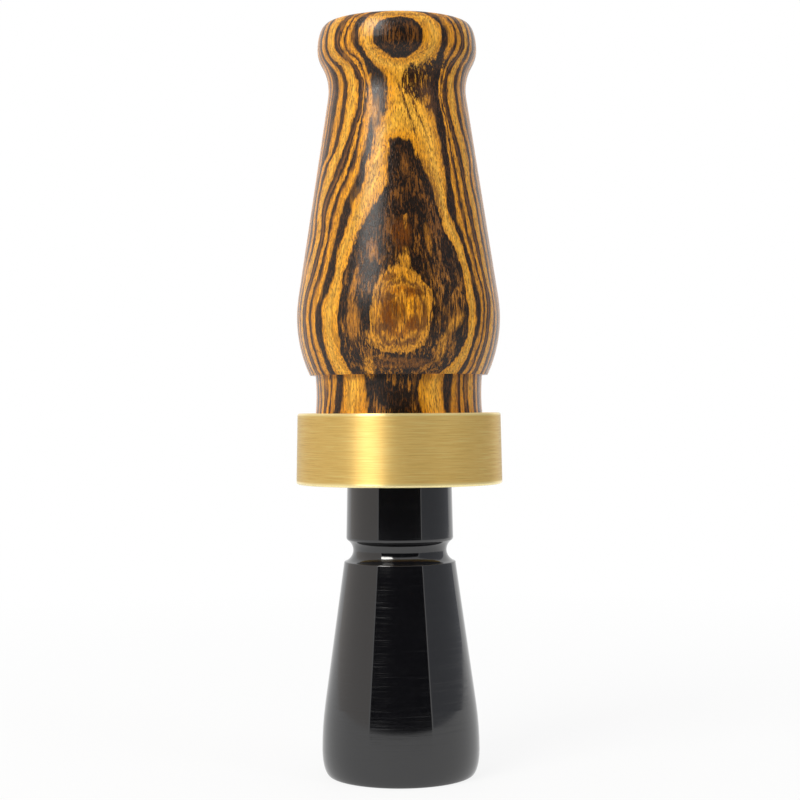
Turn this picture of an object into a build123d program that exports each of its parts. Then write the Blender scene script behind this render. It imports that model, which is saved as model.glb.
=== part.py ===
from build123d import *
import os
from math import acos, asin, atan2, degrees, hypot, radians, sqrt, tan

# A duck call, in millimetres: a turned hardwood barrel with a brass band, pushed onto an acrylic insert
# that carries two reeds. It stands on the bell, with the turning axis along Z, and the reeds face -Y.
# Heights that start at the seat are counted from the step on which the barrel's lower end sits.

# Barrel, turned from one piece of hardwood and bored straight through
barrel_length = 77.8
bore_d = 15.9
mouth_edge_radius = 1.0
lip_d = 27.0
lip_crown_height = 4.3
lip_crown_width = 1.7
lip_radius = 4.95
waist_depth = 1.85
waist_below_mouth = 11.1
belly_d = 34.5
belly_radius = 23.1
shoulder_to_belly = 9.75
neck_d = 28.3
neck_hollow = 0.15
neck_length = 6.4
spigot_ledge = 1.15

# Brass band, glued over the barrel's lower end
band_height = 12.0
band_proud = 0.25
band_taper = 0.25
band_edge_radius = 0.35
glue_gap = 0.05

# Insert, outside: flared bell, lanyard groove and neck
seat_height = 49.3
bell_d = 26.76
bell_edge_width = 1.3
bell_edge_height = 4.3
bell_knee_radius = 56.0
bell_step = 0.36
bell_rim_radius = 0.25
groove_below_seat = 11.2
groove_depth = 1.14
groove_radius = 2.0
groove_rim_radius = 0.6
seat_ledge = 0.95
seat_gap = 0.02
insert_neck_taper = 0.2

# Insert, inside: exhaust bore, throat and tone channel
exhaust_d = 9.5
exhaust_depth = 28.0
exhaust_edge_radius = 1.5
throat_d = 6.4
throat_taper_length = 6.0
channel_width = 6.0
channel_rear_depth = 3.6
channel_front_depth = 1.0
channel_to_tip = 4.5
channel_wall = 1.8

# Tenon with its two O-rings
tenon_fit = 0.15
o_ring_cord = 1.78
o_ring_squeeze = 0.15
o_ring_fit = 0.04
o_ring_side_gap = 0.25
first_ring_height = 3.7
ring_spacing = 5.0
ring_to_notch = 3.8

# Toneboard, wedge notch and lay
toneboard_length = 27.0
toneboard_tip_radius = 4.0
bed_offset = 1.0
notch_depth = 9.5
notch_roof_angle = 4.0
lay_drop = 1.6

# Reeds of polyester film, the short one over the long one, and the cork wedge that holds them
reed_thickness = 0.25
reed_gap = 0.03
reed_side_inset = 1.7
reed_tip_radius = 3.5
reed_heel_gap = 0.2
long_reed_setback = 1.0
short_reed_setback = 3.0
dimple_d = 2.4
dimple_height = 0.3
dimple_from_tip = 7.0
wedge_heel_height = 2.9
wedge_overhang = 2.5
wedge_side_inset = 0.9
wedge_fit = 0.03
wedge_edge_chamfer = 0.5

# Radii that follow from the diameters
bore_r = bore_d / 2
lip_r = lip_d / 2
waist_r = lip_r - waist_depth
belly_r = belly_d / 2
neck_r = neck_d / 2
spigot_r = neck_r - spigot_ledge
bell_r = bell_d / 2
insert_neck_r = bore_r + seat_ledge
insert_neck_foot_r = insert_neck_r + insert_neck_taper
groove_r = insert_neck_foot_r - groove_depth
bell_top_r = insert_neck_foot_r + bell_step
tenon_r = bore_r - tenon_fit
ring_section_height = o_ring_cord - o_ring_squeeze
ring_section_width = o_ring_cord ** 2 / ring_section_height
ring_outer_r = bore_r - o_ring_fit
ring_groove_r = ring_outer_r - ring_section_height - o_ring_fit
ring_groove_width = ring_section_width + 2 * o_ring_side_gap
throat_r = throat_d / 2

# The band's foot stands a little proud of the belly above it
band_bottom_d = belly_d + 2 * band_proud

# Heights above the bell's end face
barrel_end_z = seat_height + seat_gap
mouth_z = barrel_end_z + barrel_length
band_top_z = barrel_end_z + band_height
shoulder_z = band_top_z + neck_length
belly_z = shoulder_z + shoulder_to_belly
waist_z = mouth_z - waist_below_mouth
lip_z = mouth_z - lip_crown_height
groove_z = seat_height - groove_below_seat
ring_heights = [seat_height + first_ring_height + i * ring_spacing for i in range(2)]
notch_rear_z = ring_heights[-1] + ring_to_notch
tenon_end_z = notch_rear_z + notch_depth
tip_z = tenon_end_z + toneboard_length
wedge_front_z = tenon_end_z + wedge_overhang
long_reed_tip_z = tip_z - long_reed_setback
short_reed_tip_z = long_reed_tip_z - short_reed_setback
dimple_z = short_reed_tip_z - dimple_from_tip

# Distances in front of the axis, towards -Y
long_reed_y = bed_offset + reed_gap
short_reed_y = long_reed_y + reed_thickness + reed_gap
wedge_y = short_reed_y + reed_thickness + reed_gap
roof_rear_y = wedge_y + wedge_heel_height + wedge_fit
roof_slope = tan(radians(notch_roof_angle))
roof_front_y = roof_rear_y + notch_depth * roof_slope

# A cutter reaches this far past the solid that it cuts
overcut = 2.0


def turned(*edges):
    """Solid turned about Z from a closed outline of edges given as (radius, height)."""
    return revolve(Plane.XZ * make_face(Curve() + list(edges)), Axis.Z)


def across(half_width, *edges):
    """Solid that runs across the call, along X, with an outline of edges given as (y, height)."""
    return extrude(Plane.YZ * make_face(Curve() + list(edges)), amount=half_width, both=True)


def barrel():
    """Hardwood barrel: rounded lip, waist, pear-shaped belly, shoulder, neck and the band's spigot."""
    lip_crown = EllipticalCenterArc(
        (lip_r - lip_crown_width, lip_z), lip_crown_width, lip_crown_height, 0, arc_size=90
    )
    mouth_edge = CenterArc((bore_r + mouth_edge_radius, mouth_z - mouth_edge_radius), mouth_edge_radius, 90, 90)

    # Under the lip two arcs meet in an S, from the lip's girth to the waist
    s_width = lip_r - waist_r
    s_height = lip_z - waist_z
    radii_sum = (s_width ** 2 + s_height ** 2) / (2 * s_width)
    waist_radius = radii_sum - lip_radius
    s_swing = degrees(asin(s_height / radii_sum))
    under_lip = CenterArc((lip_r - lip_radius, lip_z), lip_radius, 0, -s_swing)

    # A straight taper touches the waist's arc and the belly's arc
    waist_center_r = waist_r + waist_radius
    belly_center_r = belly_r - belly_radius
    center_gap = hypot(waist_center_r - belly_center_r, waist_z - belly_z)
    lean = atan2(waist_center_r - belly_center_r, waist_z - belly_z)
    taper = degrees(asin((waist_radius + belly_radius) / center_gap) - lean)
    waist = CenterArc((waist_center_r, waist_z), waist_radius, 180 - s_swing, s_swing + taper)
    drop = degrees(asin((belly_z - shoulder_z) / belly_radius))
    belly = CenterArc((belly_center_r, belly_z), belly_radius, taper, -taper - drop)

    neck = ThreePointArc(
        (neck_r, shoulder_z), (neck_r - neck_hollow, (shoulder_z + band_top_z) / 2), (neck_r, band_top_z)
    )
    lower_end = Polyline(
        neck @ 1, (spigot_r, band_top_z), (spigot_r, barrel_end_z), (bore_r, barrel_end_z), mouth_edge @ 1
    )
    return turned(
        Line(mouth_edge @ 0, lip_crown @ 1),
        lip_crown,
        under_lip,
        waist,
        Line(waist @ 1, belly @ 0),
        belly,
        Line(belly @ 1, neck @ 0),
        neck,
        lower_end,
        mouth_edge,
    )


def brass_band():
    """Heavy ring, slightly wider at its foot, with eased outer edges."""
    inner_r = spigot_r + glue_gap
    foot_r = band_bottom_d / 2
    outline = make_face(Polyline(
        (inner_r, barrel_end_z),
        (foot_r, barrel_end_z),
        (foot_r - band_taper, band_top_z),
        (inner_r, band_top_z),
        close=True,
    ))
    outer_corners = outline.vertices().sort_by(Axis.X)[-2:]
    return revolve(Plane.XZ * fillet(outer_corners, band_edge_radius), Axis.Z)


def insert_body():
    """Outside of the insert: bell, lanyard groove, neck and the round stock of the tenon and toneboard."""
    face_r = bell_r - bell_edge_width
    bell_edge = EllipticalCenterArc(
        (face_r, bell_edge_height), bell_edge_width, bell_edge_height, 270, arc_size=90
    )

    # The groove is a cove cut between the bell's rim and the neck's foot
    groove_center_r = groove_r + groove_radius
    rim_z = groove_z - sqrt(groove_radius ** 2 - (groove_center_r - bell_top_r) ** 2)
    foot_z = groove_z + sqrt(groove_radius ** 2 - (groove_center_r - insert_neck_foot_r) ** 2)
    groove = ThreePointArc((bell_top_r, rim_z), (groove_r, groove_z), (insert_neck_foot_r, foot_z))

    # The cone leaves the rim straight and touches the knee's arc above the bell's edge
    knee_center_r = bell_r - bell_knee_radius
    rise = rim_z - bell_edge_height
    reach = hypot(bell_top_r - knee_center_r, rise)
    knee_swing = atan2(rise, bell_top_r - knee_center_r) - acos(bell_knee_radius / reach)
    knee = CenterArc((knee_center_r, bell_edge_height), bell_knee_radius, 0, degrees(knee_swing))

    stock = Polyline(
        groove @ 1, (insert_neck_r, seat_height), (tenon_r, seat_height), (tenon_r, tip_z),
        (0, tip_z), (0, 0), (face_r, 0),
    )
    outline = make_face(Curve() + [bell_edge, knee, Line(knee @ 1, groove @ 0), groove, stock])
    for corner, radius in [
        ((bell_top_r, rim_z), bell_rim_radius),
        ((insert_neck_foot_r, foot_z), groove_rim_radius),
        ((tenon_r, tip_z), toneboard_tip_radius),
    ]:
        outline = fillet(outline.vertices().sort_by_distance((*corner, 0))[0], radius)
    return revolve(Plane.XZ * outline, Axis.Z)


def airway():
    """Exhaust bore with an eased mouth, narrowing to the throat that meets the tone channel."""
    exhaust_r = exhaust_d / 2
    edge = CenterArc((exhaust_r + exhaust_edge_radius, exhaust_edge_radius), exhaust_edge_radius, 180, 90)
    throat_end_z = notch_rear_z - channel_wall
    walls = Polyline(
        edge @ 0, (exhaust_r, exhaust_depth), (throat_r, exhaust_depth + throat_taper_length),
        (throat_r, throat_end_z), (0, throat_end_z), (0, -overcut), (exhaust_r + exhaust_edge_radius, -overcut),
        edge @ 1,
    )
    return turned(edge, walls)


def tone_channel():
    """Channel in the toneboard: deep where it leaves the throat, shallow near the tip."""
    rear_z = notch_rear_z - 2 * channel_wall
    front_z = tip_z - channel_to_tip
    lay_share = (front_z - wedge_front_z) / (tip_z - wedge_front_z)
    front_floor_y = channel_front_depth + lay_drop * lay_share ** 2 - bed_offset
    rear_floor_y = channel_rear_depth - bed_offset
    sloped = across(channel_width, Polyline(
        (-bed_offset, rear_z), (-bed_offset, front_z), (front_floor_y, front_z), (rear_floor_y, rear_z), close=True
    ))
    round_z = front_z - channel_width / 2
    plan = Pos(0, (rear_z + round_z) / 2) * Rectangle(channel_width, round_z - rear_z)
    plan += Pos(0, round_z) * Circle(channel_width / 2)
    return sloped & extrude(Plane.XZ * plan, amount=tenon_r, both=True)


def reed_space():
    """What is cut away in front of the reed bed: the roofed wedge notch and the space over the lay."""
    lay = TangentArc((-bed_offset, wedge_front_z), (lay_drop - bed_offset, tip_z), tangent=(0, 1))
    outside_y = -tenon_r - overcut
    rest = Polyline(
        lay @ 1, (lay_drop - bed_offset, tip_z + overcut), (outside_y, tip_z + overcut), (outside_y, tenon_end_z),
        (-roof_front_y, tenon_end_z), (-roof_rear_y, notch_rear_z), (-bed_offset, notch_rear_z), lay @ 0,
    )
    return across(tenon_r + overcut, lay, rest)


def insert():
    """Acrylic insert in one piece, from the bell to the toneboard's tip."""
    body = insert_body() - airway() - reed_space() - tone_channel()
    for height in ring_heights:
        ring_groove = Cylinder(tenon_r + overcut, ring_groove_width) - Cylinder(ring_groove_r, ring_groove_width)
        body -= Pos(0, 0, height) * ring_groove
    return body


def o_ring(height):
    """Rubber ring squeezed between its groove and the barrel's bore."""
    section_center = (ring_outer_r - ring_section_height / 2, height)
    section = Pos(*section_center) * Ellipse(ring_section_height / 2, ring_section_width / 2)
    return revolve(Plane.XZ * section, Axis.Z)


def reed_plan(end_z):
    """Block with a reed's outline seen from the front, round at the tip and square at the heel."""
    half_width = sqrt(tenon_r ** 2 - bed_offset ** 2) - reed_side_inset
    heel_z = notch_rear_z + reed_heel_gap
    outline = make_face(Polyline(
        (-half_width, heel_z), (half_width, heel_z), (half_width, end_z), (-half_width, end_z), close=True
    ))
    outline = fillet(outline.vertices().sort_by(Axis.Y)[-2:], reed_tip_radius)
    return extrude(Plane.XZ * outline, amount=tenon_r, both=True)


def long_reed():
    """Flat film on the reed bed."""
    film = Pos(0, -long_reed_y - reed_thickness / 2, tip_z) * Box(2 * tenon_r, reed_thickness, 2 * tip_z)
    return film & reed_plan(long_reed_tip_z)


def short_reed():
    """Film on the long reed, lifted past the wedge by the dimple that keeps the two from sticking."""
    lift = dimple_height / (dimple_z - wedge_front_z)
    tip_lift = lift * (short_reed_tip_z - wedge_front_z)
    under = [
        (-short_reed_y, notch_rear_z), (-short_reed_y, wedge_front_z), (-short_reed_y - tip_lift, short_reed_tip_z),
    ]
    over = [(y - reed_thickness, z) for y, z in reversed(under)]
    film = across(tenon_r, Polyline(*under, *over, close=True)) & reed_plan(short_reed_tip_z)
    ball_r = ((dimple_d / 2) ** 2 + dimple_height ** 2) / (2 * dimple_height)
    ball = Pos(0, -short_reed_y - ball_r, dimple_z) * Sphere(ball_r)
    cap_start = short_reed_y + dimple_height + reed_thickness / 2
    under_side = Pos(0, 0, dimple_z) * Box(2 * dimple_d, 2 * cap_start, 2 * dimple_d)
    dent = Pos(0, -reed_thickness, 0) * ball
    return film + (ball & under_side) - dent


def cork_wedge():
    """Cork wedge over the reeds' heels, filling the notch and standing a little out of it."""
    rear_z = notch_rear_z + reed_heel_gap
    rear_y = roof_rear_y - wedge_fit + reed_heel_gap * roof_slope
    front_y = roof_rear_y - wedge_fit + (wedge_front_z - notch_rear_z) * roof_slope
    half_width = sqrt(tenon_r ** 2 - front_y ** 2) - wedge_side_inset
    block = across(half_width, Polyline(
        (-wedge_y, rear_z), (-wedge_y, wedge_front_z), (-front_y, wedge_front_z), (-rear_y, rear_z), close=True
    ))
    front_edges = block.edges().filter_by_position(Axis.Z, wedge_front_z, wedge_front_z)
    return chamfer(front_edges.sort_by(Axis.Y)[0], wedge_edge_chamfer)


nodes = {
    "barrel": barrel(),
    "brass_band": brass_band(),
    "insert": insert(),
    "rear_o_ring": o_ring(ring_heights[0]),
    "front_o_ring": o_ring(ring_heights[1]),
    "long_reed": long_reed(),
    "short_reed": short_reed(),
    "cork_wedge": cork_wedge(),
}

os.makedirs("parts", exist_ok=True)
for name, shape in nodes.items():
    export_step(shape, f"parts/{name}.step")
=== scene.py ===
from math import cos, pi, radians, sin

import bmesh
import bpy
from mathutils import Matrix, Vector, noise


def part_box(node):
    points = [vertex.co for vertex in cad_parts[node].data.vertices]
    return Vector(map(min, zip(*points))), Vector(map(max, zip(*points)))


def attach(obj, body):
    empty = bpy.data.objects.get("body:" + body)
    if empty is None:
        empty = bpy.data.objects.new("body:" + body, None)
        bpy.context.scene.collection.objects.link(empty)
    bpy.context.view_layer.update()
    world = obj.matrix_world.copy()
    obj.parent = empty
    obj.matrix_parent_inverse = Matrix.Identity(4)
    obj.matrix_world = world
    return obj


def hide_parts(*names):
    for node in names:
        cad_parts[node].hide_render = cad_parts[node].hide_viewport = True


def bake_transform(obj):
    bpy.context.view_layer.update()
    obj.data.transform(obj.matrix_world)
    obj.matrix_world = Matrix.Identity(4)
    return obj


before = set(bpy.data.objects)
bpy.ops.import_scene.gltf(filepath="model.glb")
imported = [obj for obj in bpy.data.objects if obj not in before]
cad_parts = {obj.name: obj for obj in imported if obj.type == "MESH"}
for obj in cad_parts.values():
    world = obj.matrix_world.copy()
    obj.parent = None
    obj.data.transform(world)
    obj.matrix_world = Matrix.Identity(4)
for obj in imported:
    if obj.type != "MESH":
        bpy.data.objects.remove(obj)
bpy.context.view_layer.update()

# A duck call that stands on its bell: a turned hardwood barrel with a brass band, on an insert of black
# acrylic. The turning axis is Z, and the best side of the wood faces -Y.
# Lengths are in metres, or in millimetres where a name ends in _MM or _mm.
MM = 0.001
QUARTER_TURN = radians(90)
scene = bpy.context.scene


# Nodes and materials

def linear(hex_colour):
    """Linear RGBA of an sRGB hex colour."""
    parts = [int(hex_colour[i:i + 2], 16) / 255 for i in (1, 3, 5)]
    return [p / 12.92 if p <= 0.04045 else ((p + 0.055) / 1.055) ** 2.4 for p in parts] + [1.0]


def add(tree, kind, *inputs, stops=(), points=(), **settings):
    """Add a node and return its first shown output.

    Inputs fill the shown sockets in order: a socket is linked, None is passed over and anything else is set.
    Stops are (place, colour) pairs of a colour ramp, and points are (x, y) pairs of a curve.
    """
    node = tree.nodes.new("ShaderNode" + kind)
    for name, value in settings.items():
        setattr(node, name, value)
    for socket, value in zip([s for s in node.inputs if s.enabled], inputs):
        if isinstance(value, bpy.types.NodeSocket):
            tree.links.new(value, socket)
        elif value is not None:
            socket.default_value = value
    if stops:
        elements = node.color_ramp.elements
        while len(elements) < len(stops):
            elements.new(1.0)
        for element, (place, colour) in zip(elements, sorted(stops)):
            element.position = place
            element.color = linear(colour)
    if points:
        curve = node.mapping.curves[0].points
        while len(curve) < len(points):
            curve.new(0.5, 0.5)
        for point, place in zip(curve, sorted(points)):
            point.location = place
        node.mapping.update()
    return next(s for s in node.outputs if s.enabled)


def new_material(name, **shader_values):
    """Material with one Principled shader, with its node tree, the shader and Object coordinates in mm."""
    material = bpy.data.materials.new(name)
    material.use_nodes = True
    tree = material.node_tree
    shader = tree.nodes["Principled BSDF"]
    for socket, value in shader_values.items():
        shader.inputs[socket.replace("_", " ")].default_value = value
    coordinates = tree.nodes.new("ShaderNodeTexCoord").outputs["Object"]
    place = add(tree, "VectorMath", coordinates, 1 / MM, operation="SCALE")
    return material, tree, shader, place


def feed(tree, shader, **sockets):
    """Link sockets to the shader's inputs of the given names."""
    for name, socket in sockets.items():
        tree.links.new(socket, shader.inputs[name.replace("_", " ")])


def mottle(tree, place, size_mm, detail=2.0, roughness=0.5):
    """Noise from 0 to 1 whose blotches have the given size along X, Y and Z."""
    scaled = add(tree, "VectorMath", place, [1 / s for s in size_mm], operation="MULTIPLY")
    return add(tree, "TexNoise", scaled, 1.0, detail, roughness)


def total(tree, base, *terms):
    """Base plus terms, each a (socket, factor) pair whose noise from 0 to 1 is first centred on 0."""
    value = base
    for socket, factor in terms:
        centred = add(tree, "Math", socket, -0.5, operation="ADD")
        value = add(tree, "Math", centred, factor, value, operation="MULTIPLY_ADD")
    return value


def from_axis(tree, place):
    """Distance of a point from the turning axis."""
    flat = add(tree, "VectorMath", place, (1, 1, 0), operation="MULTIPLY")
    return add(tree, "VectorMath", flat, operation="LENGTH")


def lathe_rings(tree, place, length_mm, width_mm, detail, roughness):
    """Noise from 0 to 1 in fine arcs round the axis, on straight sides and on end faces alike."""
    outward = add(tree, "CombineXYZ", 0.0, 0.0, from_axis(tree, place))
    spread = add(tree, "VectorMath", place, outward, operation="ADD")
    return mottle(tree, spread, (length_mm, length_mm, width_mm), detail, roughness)


ACROSS_RINGS = 0.25
RELIEF_HEIGHT = 0.03 * MM


def turned_gloss(tree, shader):
    """Stretch the gloss of a turned surface up and down, a quarter turn from its fine rings."""
    shader.inputs["Anisotropic Rotation"].default_value = ACROSS_RINGS
    feed(tree, shader, Tangent=add(tree, "Tangent", direction_type="RADIAL", axis="Z"))


# Figured hardwood, turned, sanded and oiled to a satin. Near-flat growth layers lie across the line of sight,
# so the belly cuts them into a dark pear with a gold heart, and the flanks show them as dark and yellow
# stripes. A layer's line is a depth in front of the axis that drifts with the height, (height_mm, depth_mm).
OUTER_LINE = {
    "left": [(126, 6.8), (121, 6.6), (118, 7.7), (112, 8.5), (105, 8.4), (102, 6.6), (96, 6.1), (90, 7.1),
             (84, 5.6), (68, 5.2)],
    "right": [(126, 6.2), (118, 6.3), (110, 7.0), (105, 6.2), (99, 7.1), (95, 6.8), (84, 7.0), (76, 6.6),
              (68, 6.4)],
}
MIDDLE_LINE = {
    "left": [(126, 9.7), (122, 9.2), (118, 10.0), (106, 10.5), (101, 9.9), (95, 8.3), (91, 8.9), (86, 8.6),
             (80, 7.2), (68, 6.8)],
    "right": [(126, 8.0), (122, 7.6), (116, 8.6), (112, 9.1), (103, 8.8), (95, 8.9), (86, 8.7), (80, 8.3),
              (74, 8.7), (68, 8.6)],
}
INNER_LINE = {
    "left": [(127, 11.8), (124, 11.6), (121.5, 11.65), (119, 11.2), (118, 11.0), (110, 11.7), (102, 12.6),
             (95, 12.4), (88, 12.0), (82, 12.1), (78, 11.2), (72, 10.8), (68, 10.3)],
    "right": [(127, 11.5), (124, 10.9), (121.5, 10.85), (119, 10.0), (117, 9.4), (113, 9.8), (106, 10.4),
              (98, 11.5), (93, 12.1), (88, 11.5), (80, 11.2), (70, 11.3)],
}
DARK_HEART = {
    "left": [(127, 13.2), (124.2, 12.9), (122.4, 12.9), (120.4, 12.7), (119.1, 12.3), (117.5, 13.2),
             (109, 13.6), (106.2, 13.1), (103.3, 13.5), (96.7, 14.3), (87, 14.0), (78.4, 14.2), (74, 13.7),
             (68.4, 13.0), (62, 13.1)],
    "right": [(127, 13.1), (124.2, 12.8), (122.4, 12.75), (120.4, 12.5), (119.1, 12.3), (117.5, 13.2),
              (109, 13.6), (106, 13.05), (103.3, 13.2), (97, 13.3), (91.6, 13.4), (86, 12.8), (78.4, 13.1),
              (72, 12.9), (68.4, 13.5), (62, 13.6)],
}
GOLD_HEART = {
    "left": [(126, 16.5), (92, 16.5), (87.5, 16.2), (85.7, 16.3), (83.6, 16.3), (82, 16.4), (79.5, 16.6),
             (76.3, 16.55), (73.9, 16.2), (72.3, 16.05), (71, 16.25), (68, 16.5), (62, 16.5)],
    "right": [(126, 16.5), (92, 16.5), (87.5, 16.0), (84, 16.2), (82.5, 16.2), (81.5, 16.05), (79.6, 16.1),
              (75, 16.25), (73.1, 16.15), (71, 16.25), (68, 16.5), (62, 16.5)],
}
LAST_LAYER_MM = 17.3
FIGURE_BOTTOM_MM = 49.0
FIGURE_TOP_MM = 128.0
FIGURE_DEPTH_MM = 18.0
SIDES_MEET_MM = 3.0

# Tones by layer: 1, 2 and 3 are the dark lines from the outside in, 4 is the dark heart and 5 the gold one
YELLOW, PALE = "#E89A1E", "#F2B23C"
BROWN, UMBER, RUST, CHESTNUT = "#8A5620", "#4E3018", "#5A3412", "#6E3A06"
DARK, BLACK = "#2A190D", "#190E06"
OCHRE, ORANGE, GOLD = "#BC7A24", "#A5600C", "#DE962A"
FLANK_TONES = [
    (0.55, BROWN), (0.66, UMBER), (0.71, DARK), (0.77, DARK), (0.81, YELLOW), (0.90, YELLOW), (0.95, DARK),
    (1.01, UMBER), (1.06, DARK), (1.10, DARK), (1.17, YELLOW), (1.50, PALE), (1.76, YELLOW), (1.83, DARK),
    (1.90, DARK), (1.98, UMBER), (2.08, BROWN), (2.14, DARK), (2.20, DARK), (2.27, YELLOW), (2.42, YELLOW),
    (2.47, DARK), (2.54, DARK), (2.60, BROWN), (2.68, YELLOW), (2.82, YELLOW), (2.90, DARK), (3.08, BLACK),
    (3.20, DARK), (3.29, YELLOW), (3.60, PALE), (3.97, YELLOW),
]
GOLD_TONES = [
    (5.00, GOLD), (5.38, GOLD), (5.46, BROWN), (5.50, BROWN), (5.58, GOLD), (5.72, ORANGE), (5.86, GOLD),
    (5.99, ORANGE),
]
FLANK_LAYERS, GOLD_LAYER = 4.0, 5.0

# Outside the first line the layers come in an uneven rhythm, whose noise gives these tones
OUTERMOST_TONES = [
    (0.34, BROWN), (0.40, YELLOW), (0.43, DARK), (0.47, DARK), (0.50, BROWN), (0.53, YELLOW), (0.58, YELLOW),
    (0.60, DARK), (0.63, BROWN), (0.68, YELLOW),
]
OUTERMOST_LAYER_MM = 3.0

# Smoky or golden patches: middle across and up, half width and half height in mm, lean in degrees, tone and
# share. A patch is streaky, and a share above 1 closes its gaps.
PATCHES = [
    # Smoke round the waist, and streaks on the lip
    (3.1, 115.6, 2.3, 2.6, 25, DARK, 2.5),
    (5.2, 117.9, 3.0, 1.2, 30, DARK, 2.5),
    (5.1, 112.9, 1.2, 2.6, 20, UMBER, 1.5),
    (-2.0, 113.6, 0.5, 3.6, -4, DARK, 2.0),
    (-7.9, 121.6, 0.9, 3.2, -12, OCHRE, 0.6),
    (0.0, 126.4, 9.0, 0.35, 0, BROWN, 0.7),
    # Light streaks round the gold heart
    (-7.3, 81.4, 0.45, 3.6, -12, OCHRE, 1.8),
    (-7.3, 76.2, 0.95, 2.9, 0, OCHRE, 1.6),
    (-4.2, 87.4, 0.5, 1.6, -8, OCHRE, 0.7),
    (0.0, 69.5, 5.0, 0.8, 0, BROWN, 0.8),
    (-4.8, 69.0, 0.8, 1.8, 8, GOLD, 1.4),
    (9.3, 80.4, 0.55, 1.5, -20, OCHRE, 1.0),
    (9.2, 76.0, 0.8, 2.1, -35, GOLD, 1.0),
    (6.9, 71.9, 0.75, 2.2, -18, GOLD, 1.0),
    (8.8, 71.9, 0.3, 1.2, -25, OCHRE, 1.0),
    (4.1, 68.6, 0.35, 1.6, -55, OCHRE, 0.9),
    # Black clouds and warm streaks in the upper half of the pear
    (0.5, 90.2, 1.5, 2.6, 0, CHESTNUT, 1.0),
    (1.2, 92.7, 0.3, 1.6, 0, OCHRE, 1.0),
    (1.1, 101.8, 0.6, 2.0, 5, BROWN, 0.8),
    (5.4, 99.0, 0.8, 5.0, 20, UMBER, 0.7),
    (4.0, 100.0, 0.6, 5.5, 20, BLACK, 2.0),
    (2.7, 95.2, 1.6, 1.7, 0, BLACK, 2.5),
    (0.4, 94.0, 1.6, 0.6, 15, BLACK, 2.0),
    (-4.6, 91.6, 1.3, 4.6, -26, BLACK, 2.5),
    (4.9, 89.4, 0.5, 2.4, 8, OCHRE, 0.8),
    (2.8, 85.8, 0.9, 2.3, 22, BLACK, 2.5),
    # The gold heart's peak, and the brown and bright places in it
    (1.3, 86.5, 0.6, 1.7, 5, GOLD, 1.0),
    (0.9, 83.1, 1.2, 1.3, 0, YELLOW, 0.8),
    (-1.4, 83.3, 1.3, 0.6, 20, CHESTNUT, 0.9),
    (2.4, 81.0, 1.6, 0.6, -15, CHESTNUT, 1.0),
    (-1.4, 77.6, 1.6, 3.3, 0, CHESTNUT, 1.0),
    (-1.3, 80.1, 1.0, 0.6, 0, UMBER, 0.9),
    (-2.4, 75.2, 0.8, 0.8, 0, UMBER, 0.9),
    (2.5, 75.7, 1.2, 1.2, 0, CHESTNUT, 1.0),
    (2.1, 78.6, 1.0, 1.4, 0, YELLOW, 0.9),
    # A black cloud on the neck, and two thin cracks below the waist
    (-1.9, 64.5, 2.8, 2.6, 0, BLACK, 1.5),
    (1.5, 111.3, 0.24, 5.2, 18, UMBER, 1.4),
    (3.0, 111.2, 0.22, 5.0, 22, RUST, 1.2),
]

# Sizes along X, Y and Z of what the grain is made of. Fibres run along the barrel, so all of it is long in Z.
WANDER_MM = (5.0, 5.0, 11.0)
RIPPLE_MM = (1.6, 1.6, 5.0)
FRAY_MM = (0.35, 0.35, 2.4)
STREAK_MM = (0.8, 0.8, 7.0)
STRAND_MM = (0.3, 0.3, 3.6)
FADED_MM = (3.0, 3.0, 13.0)
FIBRE_MM = (0.24, 0.24, 1.8)
LONG_FIBRE_MM = (0.3, 0.3, 9.0)
PORE_MM = (0.17, 0.17, 0.9)
GROWTH_RING_MM = 0.4
FIBRE_SHADE = (0.55, 1.30)

# Within this distance of the middle the edges of layers shift less
CALM_MIDDLE_MM = 8.0

# Patches have their whole strength from this far in front of the axis
PATCHES_WHOLE_MM = 2.0

# Between these heights the light streaks of the dark heart turn from ochre to brown
OCHRE_BELOW_MM, BROWN_ABOVE_MM = 80.0, 92.0


def layer_steps(tree, across, up, depth, gold_depth):
    """How far a point has come through each growth layer, from 0 to 1, from the outside in."""
    height = add(tree, "MapRange", up, FIGURE_BOTTOM_MM, FIGURE_TOP_MM)
    side = add(tree, "MapRange", across, -SIDES_MEET_MM, SIDES_MEET_MM, interpolation_type="SMOOTHSTEP")
    span = FIGURE_TOP_MM - FIGURE_BOTTOM_MM
    ends = []
    for line in (OUTER_LINE, MIDDLE_LINE, INNER_LINE, DARK_HEART, GOLD_HEART):
        drifts = []
        for name in ("left", "right"):
            points = [((z - FIGURE_BOTTOM_MM) / span, d / FIGURE_DEPTH_MM) for z, d in line[name]]
            drifts.append(add(tree, "FloatCurve", None, height, points=points))
        drift = add(tree, "Mix", side, *drifts, data_type="FLOAT")
        ends.append(add(tree, "Math", drift, FIGURE_DEPTH_MM, operation="MULTIPLY"))
    steps = [add(tree, "MapRange", depth, start, end) for start, end in zip([0.0] + ends, ends)]
    steps.append(add(tree, "MapRange", gold_depth, ends[-1], LAST_LAYER_MM))
    return steps


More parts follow.
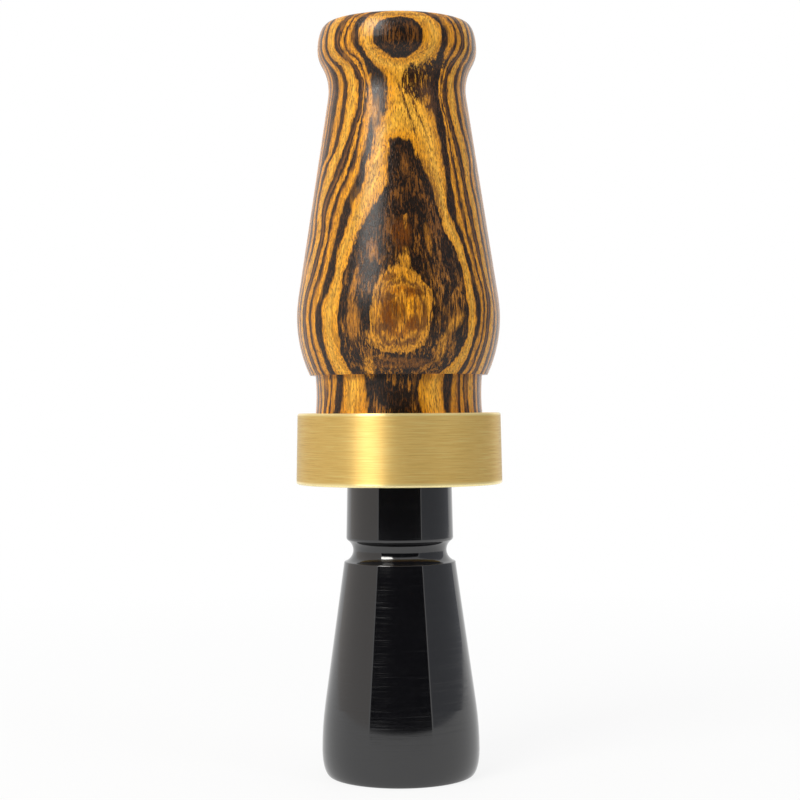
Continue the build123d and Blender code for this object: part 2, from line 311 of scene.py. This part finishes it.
def flank_tone(tree, place, depth, layer):
    """Dark and yellow stripes of the flanks, whose dark lines break off here and there."""
    flank = add(tree, "Math", layer, FLANK_LAYERS, operation="DIVIDE")
    stripes = add(tree, "ValToRGB", flank, stops=[(n / FLANK_LAYERS, c) for n, c in FLANK_TONES])
    faded = add(tree, "MapRange", mottle(tree, place, FADED_MM), 0.60, 0.74, 0.0, 0.7)
    stripes = add(tree, "Mix", faded, stripes, linear(YELLOW), data_type="RGBA")
    beat = add(tree, "Math", depth, 1 / OUTERMOST_LAYER_MM, operation="MULTIPLY")
    rhythm = add(tree, "TexNoise", beat, 1.0, 3.0, 0.6, noise_dimensions="1D")
    outermost = add(tree, "ValToRGB", rhythm, stops=OUTERMOST_TONES)
    inside = add(tree, "MapRange", layer, 0.55, 0.65)
    return add(tree, "Mix", inside, outermost, stripes, data_type="RGBA")


def heart_tone(tree, up, layer, gold_share, ripple, streaks, strands):
    """Dark heart with a black rim and light streaks, and in it the gold heart, ringed and streaked brown."""
    thin = add(tree, "MapRange", strands, 0.48, 0.53)
    blotch = add(tree, "MapRange", add(tree, "Math", ripple, streaks, operation="ADD"), 0.95, 1.07)
    light = add(tree, "Math", thin, blotch, operation="MULTIPLY")
    within = add(tree, "MapRange", layer, 4.04, 4.12, 0.0, 0.8)
    light = add(tree, "Math", light, within, operation="MULTIPLY")
    upper = add(tree, "MapRange", up, OCHRE_BELOW_MM, BROWN_ABOVE_MM)
    light_tone = add(tree, "Mix", upper, linear(OCHRE), linear(BROWN), data_type="RGBA")
    dark_heart = add(tree, "Mix", light, linear(BLACK), light_tone, data_type="RGBA")

    gold_heart = add(tree, "ValToRGB", gold_share, stops=[(n - GOLD_LAYER, c) for n, c in GOLD_TONES])
    brown = add(tree, "MapRange", strands, 0.48, 0.42, 0.0, 0.95)
    gold_heart = add(tree, "Mix", brown, gold_heart, linear(UMBER), data_type="RGBA")
    in_gold = add(tree, "MapRange", gold_share, 0.0, 0.05)
    return add(tree, "Mix", in_gold, dark_heart, gold_heart, data_type="RGBA")


def patched(tree, place, toward, tone, ripple, streaks, strands):
    """The tone with the patches laid over it, on the front alone."""
    front = add(tree, "MapRange", toward, 0.0, PATCHES_WHOLE_MM)
    gaps = add(tree, "MapRange", strands, 0.42, 0.52, 0.1, 1.0)
    grain = add(tree, "Math", front, gaps, operation="MULTIPLY")
    for across, up, half_width, half_height, lean, patch_tone, share in PATCHES:
        shifted = add(tree, "VectorMath", place, (-across, 0.0, -up), operation="ADD")
        turned = add(tree, "VectorRotate", shifted, (0, 0, 0), radians(lean), rotation_type="Y_AXIS")
        scale = (1 / half_width, 0.0, 1 / half_height)
        squeezed = add(tree, "VectorMath", turned, scale, operation="MULTIPLY")
        distance = add(tree, "VectorMath", squeezed, operation="LENGTH")
        frayed = total(tree, distance, (streaks, 1.0), (ripple, 0.9), (strands, 2.4))
        cover = add(tree, "MapRange", frayed, 1.15, 0.85, 0.0, share)
        cover = add(tree, "Math", cover, grain, operation="MULTIPLY")
        tone = add(tree, "Mix", cover, tone, linear(patch_tone), data_type="RGBA")
    return tone


def figured_hardwood():
    """Figure from the layers and patches, shaded by growth rings, fibres and pores, with a satin gloss."""
    material, tree, shader, place = new_material(
        "figured_hardwood", IOR=1.5, Specular_IOR_Level=0.34, Anisotropic=0.75
    )
    across, away, up = add(tree, "SeparateXYZ", place).node.outputs
    toward = add(tree, "Math", away, -1.0, operation="MULTIPLY")
    wander = mottle(tree, place, WANDER_MM)
    ripple = mottle(tree, place, RIPPLE_MM)
    fray = mottle(tree, place, FRAY_MM, 3.0, 0.6)
    streaks = mottle(tree, place, STREAK_MM, 4.0, 0.65)
    strands = mottle(tree, place, STRAND_MM, 4.0, 0.7)

    # The edges of the layers fray. The front cuts the layers almost flat, where a small shift in depth moves
    # an edge far, so shifts fade towards the middle.
    off_middle = add(tree, "Math", across, operation="ABSOLUTE")
    calm = add(tree, "MapRange", off_middle, 0.0, CALM_MIDDLE_MM, 0.3, 1.0)
    shift = total(tree, 0.0, (wander, 0.7), (ripple, 0.9), (fray, 0.6))
    depth = add(tree, "Math", shift, calm, toward, operation="MULTIPLY_ADD")
    gold_depth = total(tree, toward, (wander, 0.2), (ripple, 0.4), (streaks, 0.6), (strands, 0.4))
    steps = layer_steps(tree, across, up, depth, gold_depth)
    layer = steps[0]
    for step in steps[1:]:
        layer = add(tree, "Math", layer, step, operation="ADD")
    gold_share = steps[-1]

    flank = flank_tone(tree, place, depth, layer)
    heart = heart_tone(tree, up, layer, gold_share, ripple, streaks, strands)
    in_heart = add(tree, "MapRange", layer, 3.97, 4.01)
    tone = add(tree, "Mix", in_heart, flank, heart, data_type="RGBA")
    tone = patched(tree, place, toward, tone, ripple, streaks, strands)

    beat = add(tree, "Math", depth, 1 / GROWTH_RING_MM, operation="MULTIPLY")
    rings = add(tree, "TexNoise", beat, 1.0, 2.0, 0.6, noise_dimensions="1D")
    rings = add(tree, "MapRange", rings, 0.35, 0.62, 0.76, 1.08)
    fibre = add(tree, "MapRange", mottle(tree, place, FIBRE_MM, 3.0, 0.7), 0.30, 0.70, *FIBRE_SHADE)
    long_fibre = mottle(tree, place, LONG_FIBRE_MM, 3.0, 0.65)
    long_fibre = add(tree, "MapRange", long_fibre, 0.32, 0.60, 0.72, 1.12)
    shade = add(tree, "Math", rings, fibre, operation="MULTIPLY")
    shade = add(tree, "Math", shade, long_fibre, operation="MULTIPLY")
    tone = add(tree, "Mix", 1.0, tone, shade, data_type="RGBA", blend_type="MULTIPLY")
    pores = add(tree, "MapRange", mottle(tree, place, PORE_MM, 1.0), 0.54, 0.66)
    pore_share = add(tree, "Math", pores, 0.7, operation="MULTIPLY")
    tone = add(tree, "Mix", pore_share, tone, linear(RUST), data_type="RGBA")
    relief = add(tree, "Math", fibre, pores, operation="SUBTRACT")
    feed(
        tree, shader,
        Base_Color=tone,
        Roughness=add(tree, "MapRange", fibre, *FIBRE_SHADE, 0.36, 0.22),
        Normal=add(tree, "Bump", 0.25, RELIEF_HEIGHT, None, relief),
    )
    turned_gloss(tree, shader)
    return material


# Brushing that is drawn almost as coarse as a pixel of the picture, because the true one is finer.
# The edges begin to show wear and a painted highlight at the first distance from the corner, and show both in
# full from the second on.
BRUSHING_LENGTH_MM, BRUSHING_WIDTH_MM = 6.0, 0.11
BAND_LOW_MM, BAND_HIGH_MM = [Vector(corner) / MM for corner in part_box("brass_band")]
WORN_HIGHLIT_FROM_MM, WORN_HIGHLIT_FULL_MM = 0.8, 0.2


def brushed_brass():
    """Turned brass, brushed in the lathe: fine rings that stretch the gloss, and edges worn smoother and
    lightened to pale as a painted highlight.
    """
    material, tree, shader, place = new_material("brushed_brass", Metallic=0.88, Anisotropic=1.0)
    rings = lathe_rings(tree, place, BRUSHING_LENGTH_MM, BRUSHING_WIDTH_MM, 4.0, 0.7)
    tone = add(tree, "ValToRGB", rings, stops=[(0.30, "#E8C06A"), (0.5, "#FCD680"), (0.70, "#FFE99C")])
    brushed = add(tree, "MapRange", rings, 0.2, 0.8, 0.54, 0.66)

    # Height off the middle and distance from the axis, added up, are greatest at the two outer edges
    height = add(tree, "SeparateXYZ", place).node.outputs["Z"]
    middle_mm = (BAND_LOW_MM.z + BAND_HIGH_MM.z) / 2
    above_middle = add(tree, "Math", height, middle_mm, operation="SUBTRACT")
    off_middle = add(tree, "Math", above_middle, operation="ABSOLUTE")
    reach = add(tree, "Math", off_middle, from_axis(tree, place), operation="ADD")
    corner_mm = (BAND_HIGH_MM.z - BAND_LOW_MM.z) / 2 + BAND_HIGH_MM.y
    # The outer edges are worn smoother, and their colour is lightened to pale as a painted highlight of the
    # bright floor
    worn_highlit_edge = add(tree, "MapRange", reach, corner_mm - WORN_HIGHLIT_FROM_MM, corner_mm - WORN_HIGHLIT_FULL_MM)
    feed(
        tree, shader,
        # The pale tone at the edges is a painted highlight
        Base_Color=add(tree, "Mix", worn_highlit_edge, tone, linear("#FFF0B4"), data_type="RGBA"),
        Roughness=add(tree, "Mix", worn_highlit_edge, brushed, 0.2, data_type="FLOAT"),
        Normal=add(tree, "Bump", 0.2, RELIEF_HEIGHT, None, rings),
    )
    turned_gloss(tree, shader)
    return material


# Scratches that are drawn half a pixel of the picture wide, because the true ones are finer.
# The bell, which a hand closes, has more of them than the neck.
SCRATCH_LENGTH_MM, SCRATCH_WIDTH_MM = 12.0, 0.09
BELL_TOP_MM, NECK_BOTTOM_MM = 38.0, 41.0


def black_acrylic():
    """Cast acrylic, turned and buffed: almost black and mirror-like, with fine scratches from the buffing."""
    material, tree, shader, place = new_material(
        "black_acrylic", IOR=1.7, Anisotropic=1.0, Base_Color=linear("#0B0B0E")
    )
    scratches = lathe_rings(tree, place, SCRATCH_LENGTH_MM, SCRATCH_WIDTH_MM, 3.0, 0.7)
    scratches = add(tree, "MapRange", scratches, 0.51, 0.74)
    height = add(tree, "SeparateXYZ", place).node.outputs["Z"]
    roughest = add(tree, "MapRange", height, BELL_TOP_MM, NECK_BOTTOM_MM, 0.23, 0.10)
    feed(tree, shader, Roughness=add(tree, "MapRange", scratches, 0.0, 1.0, 0.05, roughest))
    turned_gloss(tree, shader)
    return material


BLOOM_MM = (0.9, 0.9, 0.9)


def nitrile_rubber():
    """Moulded nitrile rubber: matt black with a dusty bloom."""
    material, tree, shader, place = new_material("nitrile_rubber", Roughness=0.55, IOR=1.52)
    bloom = mottle(tree, place, BLOOM_MM, 3.0)
    feed(
        tree, shader,
        Base_Color=add(tree, "ValToRGB", bloom, stops=[(0.3, "#131313"), (0.7, "#262524")]),
        Normal=add(tree, "Bump", 0.1, RELIEF_HEIGHT, None, bloom),
    )
    return material


RUB_MARK_MM = (0.2, 0.2, 6.0)


def polyester_film():
    """Polyester film, rubbed matt so that it doesn't stick: milky, with fine scratches along the reed."""
    material, tree, shader, place = new_material("polyester_film", IOR=1.6, Transmission_Weight=0.22)
    scratches = mottle(tree, place, RUB_MARK_MM, 3.0, 0.6)
    feed(
        tree, shader,
        Base_Color=add(tree, "ValToRGB", scratches, stops=[(0.3, "#E0E4E2"), (0.7, "#EEF1EF")]),
        Roughness=add(tree, "MapRange", scratches, 0.3, 0.7, 0.28, 0.38),
    )
    return material


CORK_GRAINS_PER_MM = 1.1
CORK_SPECK_MM = (0.5, 0.5, 0.8)
CORK_SPECK_DEPTH = 0.2 * MM


def cut_cork():
    """Natural cork, cut with a blade: tan, with grains about a millimetre across and dark pits."""
    material, tree, shader, place = new_material("cut_cork", Roughness=0.85, IOR=1.4)
    grains = add(tree, "TexVoronoi", place, CORK_GRAINS_PER_MM)
    tone = add(tree, "ValToRGB", grains, stops=[(0.1, "#C79A66"), (0.6, "#A97B4A"), (0.9, "#86592F")])
    pits = add(tree, "MapRange", mottle(tree, place, CORK_SPECK_MM, 3.0), 0.6, 0.68)
    flat = add(tree, "Math", 1.0, pits, operation="SUBTRACT")
    feed(
        tree, shader,
        Base_Color=add(tree, "Mix", pits, tone, linear("#4A2E18"), data_type="RGBA"),
        Normal=add(tree, "Bump", 0.5, CORK_SPECK_DEPTH, None, flat),
    )
    return material


# Finishes of the CAD nodes whose shapes are right as they are
rubber = nitrile_rubber()
for node, finish in {
    "barrel": figured_hardwood(),
    "brass_band": brushed_brass(),
    "insert": black_acrylic(),
    "rear_o_ring": rubber,
    "front_o_ring": rubber,
}.items():
    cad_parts[node].material_slots[0].material = finish


# Soft pieces on the toneboard, which stand in for plain CAD solids
SHARP_EDGE = radians(35)


def finished(bm, node, material):
    """Object from a bmesh, smooth between its sharp edges, that stands for a CAD node."""
    mesh = bpy.data.meshes.new(node + "_piece")
    bmesh.ops.recalc_face_normals(bm, faces=bm.faces)
    bm.to_mesh(mesh)
    bm.free()
    mesh.shade_smooth()
    mesh.set_sharp_from_angle(angle=SHARP_EDGE)
    mesh.materials.append(material)
    piece = bpy.data.objects.new(mesh.name, mesh)
    scene.collection.objects.link(piece)
    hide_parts(node)
    return piece


def cut_rows(bm, axis, start, end, spacing):
    """Cut a mesh across an axis at even places between start and end."""
    count = round((end - start) / spacing)
    normal = [float(i == axis) for i in range(3)]
    for i in range(1, count):
        place = [n * (start + (end - start) * i / count) for n in normal]
        whole = bm.verts[:] + bm.edges[:] + bm.faces[:]
        bmesh.ops.bisect_plane(bm, geom=whole, plane_co=place, plane_no=normal)


REED_THICKNESS = 0.25 * MM
REED_TIP_RADIUS = 3.5 * MM
REED_TIP_FACETS = 10
REED_ROW = 1.0 * MM
DIMPLE_RADIUS = 1.2 * MM
DIMPLE_FROM_TIP = 7.0 * MM
DIMPLE_ROW = 0.2 * MM
WEDGE_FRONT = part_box("cork_wedge")[1][2]


def reed(node, material):
    """Film with a round tip, in rows that can bend. If its CAD box is deeper, it slopes up over a dimple."""
    low, high = [Vector(corner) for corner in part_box(node)]
    middle = Matrix.Translation((0.0, high.y, (low.z + high.z) / 2))
    size = Matrix.Diagonal((high.x - low.x, high.z - low.z, 1.0, 1.0))
    upright = middle @ Matrix.Rotation(QUARTER_TURN, 4, "X") @ size
    bm = bmesh.new()
    bmesh.ops.create_grid(bm, x_segments=1, y_segments=1, size=0.5, matrix=upright)
    tip_corners = [v for v in bm.verts if v.co.z > middle.translation.z]
    tip_form = {"segments": REED_TIP_FACETS, "profile": 0.5, "affect": "VERTICES", "material": -1}
    bmesh.ops.bevel(bm, geom=tip_corners, offset=REED_TIP_RADIUS, **tip_form)
    cut_rows(bm, 2, low.z, high.z, REED_ROW)

    tip_lift = high.y - low.y - REED_THICKNESS
    if tip_lift > REED_THICKNESS:
        dimple_z = high.z - DIMPLE_FROM_TIP
        cut_rows(bm, 0, -DIMPLE_RADIUS, DIMPLE_RADIUS, DIMPLE_ROW)
        cut_rows(bm, 2, dimple_z - DIMPLE_RADIUS, dimple_z + DIMPLE_RADIUS, DIMPLE_ROW)
        slope = tip_lift / (high.z - WEDGE_FRONT)
        for v in bm.verts:
            share = min(1.0, ((v.co.z - dimple_z) ** 2 + v.co.x ** 2) / DIMPLE_RADIUS ** 2)
            dent = slope * (dimple_z - WEDGE_FRONT) * (1.0 - share) ** 2
            v.co.y += dent - slope * max(0.0, v.co.z - WEDGE_FRONT)
    bmesh.ops.solidify(bm, geom=bm.faces[:], thickness=-REED_THICKNESS)
    piece = finished(bm, node, material)
    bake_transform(piece)


CORK_FRONT_CHAMFER = 0.5 * MM
CORK_EDGE = 0.15 * MM
CORK_HEEL_HEIGHT = 2.9 * MM
CORK_ROW = 0.4 * MM
CORK_PIT_SIZE = 0.9 * MM
CORK_PIT_DEPTH = 0.35 * MM
CORK_PIT_START = 0.2
NEAR_TOP, NEAR_FRONT = 0.1 * MM, 1.0 * MM


def cork_wedge(material):
    """Wedge cut from sheet cork: lower at the heel, with worn edges and small open pits."""
    low, high = [Vector(corner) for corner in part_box("cork_wedge")]
    bm = bmesh.new()
    middle = Matrix.Translation((low + high) / 2)
    bmesh.ops.create_cube(bm, size=1.0, matrix=middle @ Matrix.Diagonal((*(high - low), 1.0)))
    for v in bm.verts:
        if v.co.y < middle.translation.y and v.co.z < middle.translation.z:
            v.co.y = high.y - CORK_HEEL_HEIGHT
    front_top = [
        e for e in bm.edges
        if all(v.co.y < low.y + NEAR_TOP and v.co.z > high.z - NEAR_FRONT for v in e.verts)
    ]
    edge_form = {"segments": 1, "profile": 0.5, "affect": "EDGES", "material": -1}
    bmesh.ops.bevel(bm, geom=front_top, offset=CORK_FRONT_CHAMFER, **edge_form)
    bmesh.ops.bevel(bm, geom=bm.edges[:], offset=CORK_EDGE, **edge_form)
    for axis in range(3):
        cut_rows(bm, axis, low[axis], high[axis], CORK_ROW)
    bm.normal_update()
    for v in bm.verts:
        pit = max(0.0, noise.noise(v.co / CORK_PIT_SIZE) - CORK_PIT_START)
        v.co -= v.normal * pit * CORK_PIT_DEPTH
    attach(finished(bm, "cork_wedge", material), "wedge")


film = polyester_film()
for reed_node in ("long_reed", "short_reed"):
    reed(reed_node, film)
cork_wedge(cut_cork())


# Studio: a pale floor, a glowing sheet at each side, two soft lamps and a dark card behind the camera
scene.view_settings.view_transform = "Standard"
FLOOR_SIZE = 6.0
FLOOR_SHADED_MM, FLOOR_WHITE_MM = 40.0, 300.0
FLOOR_GLOW_NEAR, FLOOR_GLOW_FAR = 0.86, 1.0
CARD_PLACE = (0.0, -0.50, 0.215)
CARD_WIDTH, CARD_HEIGHT = 1.04, 0.43
SHEET_DISTANCE, SHEET_MIDDLE_HEIGHT = 0.42, 0.23
SHEET_WIDTH, SHEET_HEIGHT = 0.76, 0.44
WORLD_AS_LIGHT, WORLD_AS_BACKGROUND = 0.68, 1.0
LAMP_TARGET = Vector((0.0, 0.0, 0.08))
FRONT_LAMP_AZIMUTH, FRONT_LAMP_ELEVATION, FRONT_LAMP_DISTANCE = radians(-37), radians(36), 0.62
FILL_LAMP_PLACE = Vector((0.44, -0.25, 0.34))


def background_rays(tree):
    """1 for a ray that shows the background: straight to the camera, in a reflection or through a film."""
    rays = tree.nodes.new("ShaderNodeLightPath").outputs
    seen = rays["Is Camera Ray"]
    for kind in ("Is Glossy Ray", "Is Transmission Ray"):
        seen = add(tree, "Math", seen, rays[kind], operation="MAXIMUM")
    return seen


def stage_plane(name, width, depth, matrix, material):
    """A flat staged sheet, which isn't part of the object."""
    mesh = bpy.data.meshes.new(name)
    bm = bmesh.new()
    sized = matrix @ Matrix.Diagonal((width, depth, 1, 1))
    bmesh.ops.create_grid(bm, x_segments=1, y_segments=1, size=0.5, matrix=sized)
    bm.to_mesh(mesh)
    bm.free()
    mesh.materials.append(material)
    sheet = bpy.data.objects.new(name, mesh)
    scene.collection.objects.link(sheet)
    return sheet


def pale_floor():
    """White floor that shows white to the camera and keeps a soft shadow near the object."""
    material, tree, shader, place = new_material("pale_floor", Roughness=0.6, Base_Color=linear("#E6E6E6"))
    glow = add(tree, "Emission", (1, 1, 1, 1), 1.0)
    distance = add(tree, "VectorMath", place, operation="LENGTH")
    share = add(
        tree, "MapRange", distance, FLOOR_SHADED_MM, FLOOR_WHITE_MM, FLOOR_GLOW_NEAR, FLOOR_GLOW_FAR
    )
    share = add(tree, "Math", share, background_rays(tree), operation="MULTIPLY")
    mixed = add(tree, "MixShader", share, shader.outputs[0], glow)
    tree.links.new(mixed, tree.nodes["Material Output"].inputs["Surface"])
    stage_plane("floor", FLOOR_SIZE, FLOOR_SIZE, Matrix.Identity(4), material)


def dark_card():
    """Black card behind the camera: the dark stripe down the middle of the acrylic is its reflection."""
    material = new_material("black_card", Roughness=1.0, Base_Color=linear("#0C0C0E"))[0]
    upright = Matrix.Translation(CARD_PLACE) @ Matrix.Rotation(QUARTER_TURN, 4, "X")
    card = stage_plane("dark_card", CARD_WIDTH, CARD_HEIGHT, upright, material)
    card.visible_camera = False


def glowing_sheet(name, side, radiance, colour):
    """Sheet of lit diffuser that stands at one side, -1 or 1, and shows in the gloss alone."""
    material = new_material(
        name, Base_Color=(0, 0, 0, 1), Specular_IOR_Level=0.0,
        Emission_Color=linear(colour), Emission_Strength=radiance,
    )[0]
    place = Matrix.Translation((side * SHEET_DISTANCE, 0.0, SHEET_MIDDLE_HEIGHT))
    upright = Matrix.Rotation(QUARTER_TURN, 4, "Y") @ Matrix.Rotation(QUARTER_TURN, 4, "Z")
    sheet = stage_plane(name, SHEET_WIDTH, SHEET_HEIGHT, place @ upright, material)
    sheet.visible_camera = False
    sheet.visible_diffuse = False


def studio_world():
    """White surroundings, dimmer as a light than as a background."""
    world = bpy.data.worlds.new("studio")
    scene.world = world
    world.use_nodes = True
    tree = world.node_tree
    background = tree.nodes["Background"]
    background.inputs["Color"].default_value = (1, 1, 1, 1)
    rays = background_rays(tree)
    strength = add(tree, "MapRange", rays, 0.0, 1.0, WORLD_AS_LIGHT, WORLD_AS_BACKGROUND)
    tree.links.new(strength, background.inputs["Strength"])


def soft_panel(name, place, width, height, radiance, colour):
    """Area light of a given brightness that faces the object."""
    lamp = bpy.data.lights.new(name, "AREA")
    lamp.shape = "RECTANGLE"
    lamp.size, lamp.size_y = width, height
    lamp.energy = radiance * pi * width * height
    lamp.color = linear(colour)[:3]
    panel = bpy.data.objects.new(name, lamp)
    panel.location = place
    panel.rotation_euler = (LAMP_TARGET - place).to_track_quat("-Z", "Y").to_euler()
    panel.visible_camera = False
    scene.collection.objects.link(panel)
    return panel


pale_floor()
dark_card()
studio_world()
glowing_sheet("left_sheet", side=-1, radiance=0.84, colour="#FFF9F4")
glowing_sheet("right_sheet", side=1, radiance=0.42, colour="#F4F7FF")
front_lamp_direction = Vector((
    cos(FRONT_LAMP_ELEVATION) * sin(FRONT_LAMP_AZIMUTH),
    -cos(FRONT_LAMP_ELEVATION) * cos(FRONT_LAMP_AZIMUTH),
    sin(FRONT_LAMP_ELEVATION),
))
front_lamp_place = LAMP_TARGET + FRONT_LAMP_DISTANCE * front_lamp_direction
soft_panel("front_lamp", front_lamp_place, width=0.28, height=0.24, radiance=14.5, colour="#FFFDF8")
fill_lamp = soft_panel("fill_lamp", FILL_LAMP_PLACE, width=0.26, height=0.26, radiance=6.0, colour="#F4F7FF")
fill_lamp.visible_glossy = False


# Camera: level, just above the brass band, at the height where the photo shows circles round the axis edge on
CAMERA_DISTANCE = 0.300
HORIZON_MM = 62.5
PICTURE_PX = 800
FOCAL_PX = 1763.0
HORIZON_BELOW_MIDDLE_PX = 6.0
AXIS_LEFT_OF_MIDDLE_PX = 1.0
LEAN = radians(0.344)
camera_data = bpy.data.cameras.new("camera")
camera_data.sensor_width = 36.0
camera_data.lens = camera_data.sensor_width * FOCAL_PX / PICTURE_PX
camera_data.shift_x = AXIS_LEFT_OF_MIDDLE_PX / PICTURE_PX
camera_data.shift_y = HORIZON_BELOW_MIDDLE_PX / PICTURE_PX
camera_data.clip_start = 0.01
camera = bpy.data.objects.new("camera", camera_data)
camera.location = (0.0, -CAMERA_DISTANCE, HORIZON_MM * MM)
level = Matrix.Rotation(QUARTER_TURN, 3, "X")
camera.rotation_euler = (level @ Matrix.Rotation(-LEAN, 3, "Z")).to_euler()
scene.collection.objects.link(camera)
scene.camera = camera
